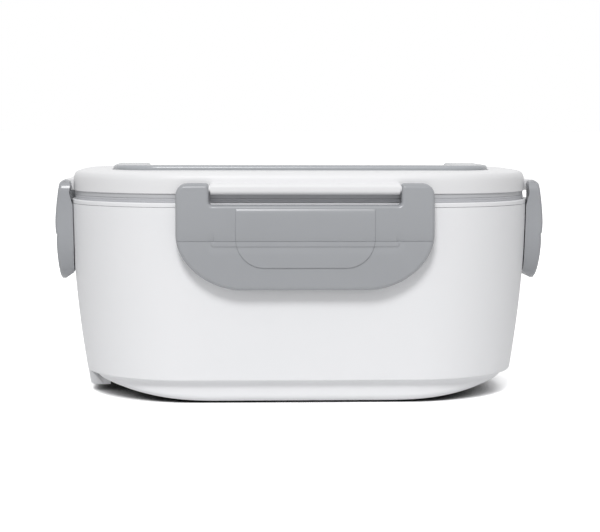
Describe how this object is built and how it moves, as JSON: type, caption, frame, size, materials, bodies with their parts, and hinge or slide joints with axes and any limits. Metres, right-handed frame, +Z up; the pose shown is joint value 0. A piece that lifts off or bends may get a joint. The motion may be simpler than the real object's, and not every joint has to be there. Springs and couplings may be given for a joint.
{
  "type": "lunch box",
  "caption": "Rounded rectangular electric lunch box with a heated base, a lift-out steel container and side tray, a sealed lid with fold-down handle, and wide snap latches.",
  "frame": {"origin": "on the surface it stands on, under the middle of the box", "axes": "+X along the length to the right, +Y to the back, +Z up; the long front latch faces -Y"},
  "size_m": [0.235, 0.167, 0.1099],
  "materials": {
    "white_shell": "semi-gloss moulded polypropylene",
    "grey_trim": "semi-gloss moulded ABS",
    "grey_liner": "satin moulded polypropylene",
    "silicone": "matte silicone",
    "feet_rubber": "matte rubber",
    "stainless": "drawn and satin brushed",
    "tray_plastic": "satin moulded polypropylene",
    "aluminium_plate": "rolled sheet",
    "steel_hardware": "zinc plated",
    "black_plastic": "moulded phenolic and ABS",
    "insulation": "pressed glass-fibre board",
    "wire_rubber": "silicone-covered wire"
  },
  "bodies": {
    "base": {"outer_shell": "white_shell", "inner_well": "white_shell", "heating_plate": "aluminium_plate", "ptc_heater": "aluminium_plate", "heater_clamp": "steel_hardware", "clamp_screws": "steel_hardware", "thermostat": "black_plastic", "thermal_fuse": "steel_hardware", "insulation_board": "insulation", "wiring": "wire_rubber", "mains_inlet": "black_plastic", "car_inlet": "black_plastic", "inlet_bezel": "black_plastic", "base_cover": "white_shell", "base_screws": "steel_hardware", "rubber_feet": "feet_rubber"},
    "container": {"food_container": "stainless"},
    "tray": {"side_tray": "tray_plastic"},
    "lid": {"lid_shell": "white_shell", "lid_liner": "grey_liner", "lid_seal": "silicone", "handle_pins": "steel_hardware"},
    "handle": {"handle": "grey_trim"},
    "vent": {"vent_plug": "silicone"},
    "latch_front": {"latch_front": "grey_trim"},
    "latch_back": {"latch_back": "grey_trim"},
    "latch_left": {"latch_left": "grey_trim"},
    "latch_right": {"latch_right": "grey_trim"}
  },
  "joints": [
    {"name": "container_lift", "type": "slide", "parent": "base", "child": "container", "axis": [0, 0, 1], "range_m": [0, 0.09]},
    {"name": "tray_lift", "type": "slide", "parent": "container", "child": "tray", "axis": [0, 0, 1], "range_m": [0, 0.08]},
    {"name": "lid_lift", "type": "slide", "parent": "tray", "child": "lid", "axis": [0, 0, 1], "range_m": [0, 0.06]},
    {"name": "handle_fold", "type": "hinge", "parent": "lid", "child": "handle", "pos_m": [0, 0.004, 0.1048], "axis": [-1, 0, 0], "range_deg": [0, 90]},
    {"name": "vent_lift", "type": "slide", "parent": "lid", "child": "vent", "axis": [0, 0, 1], "range_m": [0, 0.012]},
    {"name": "latch_front_swing", "type": "hinge", "parent": "lid", "child": "latch_front", "pos_m": [0, -0.0788, 0.0998], "axis": [-1, 0, 0], "range_deg": [0, 110]},
    {"name": "latch_back_swing", "type": "hinge", "parent": "lid", "child": "latch_back", "pos_m": [0, 0.0788, 0.0998], "axis": [1, 0, 0], "range_deg": [0, 110]},
    {"name": "latch_left_swing", "type": "hinge", "parent": "lid", "child": "latch_left", "pos_m": [-0.1128, 0, 0.0998], "axis": [0, 1, 0], "range_deg": [0, 110]},
    {"name": "latch_right_swing", "type": "hinge", "parent": "lid", "child": "latch_right", "pos_m": [0.1128, 0, 0.0998], "axis": [0, -1, 0], "range_deg": [0, 110]}
  ]
}
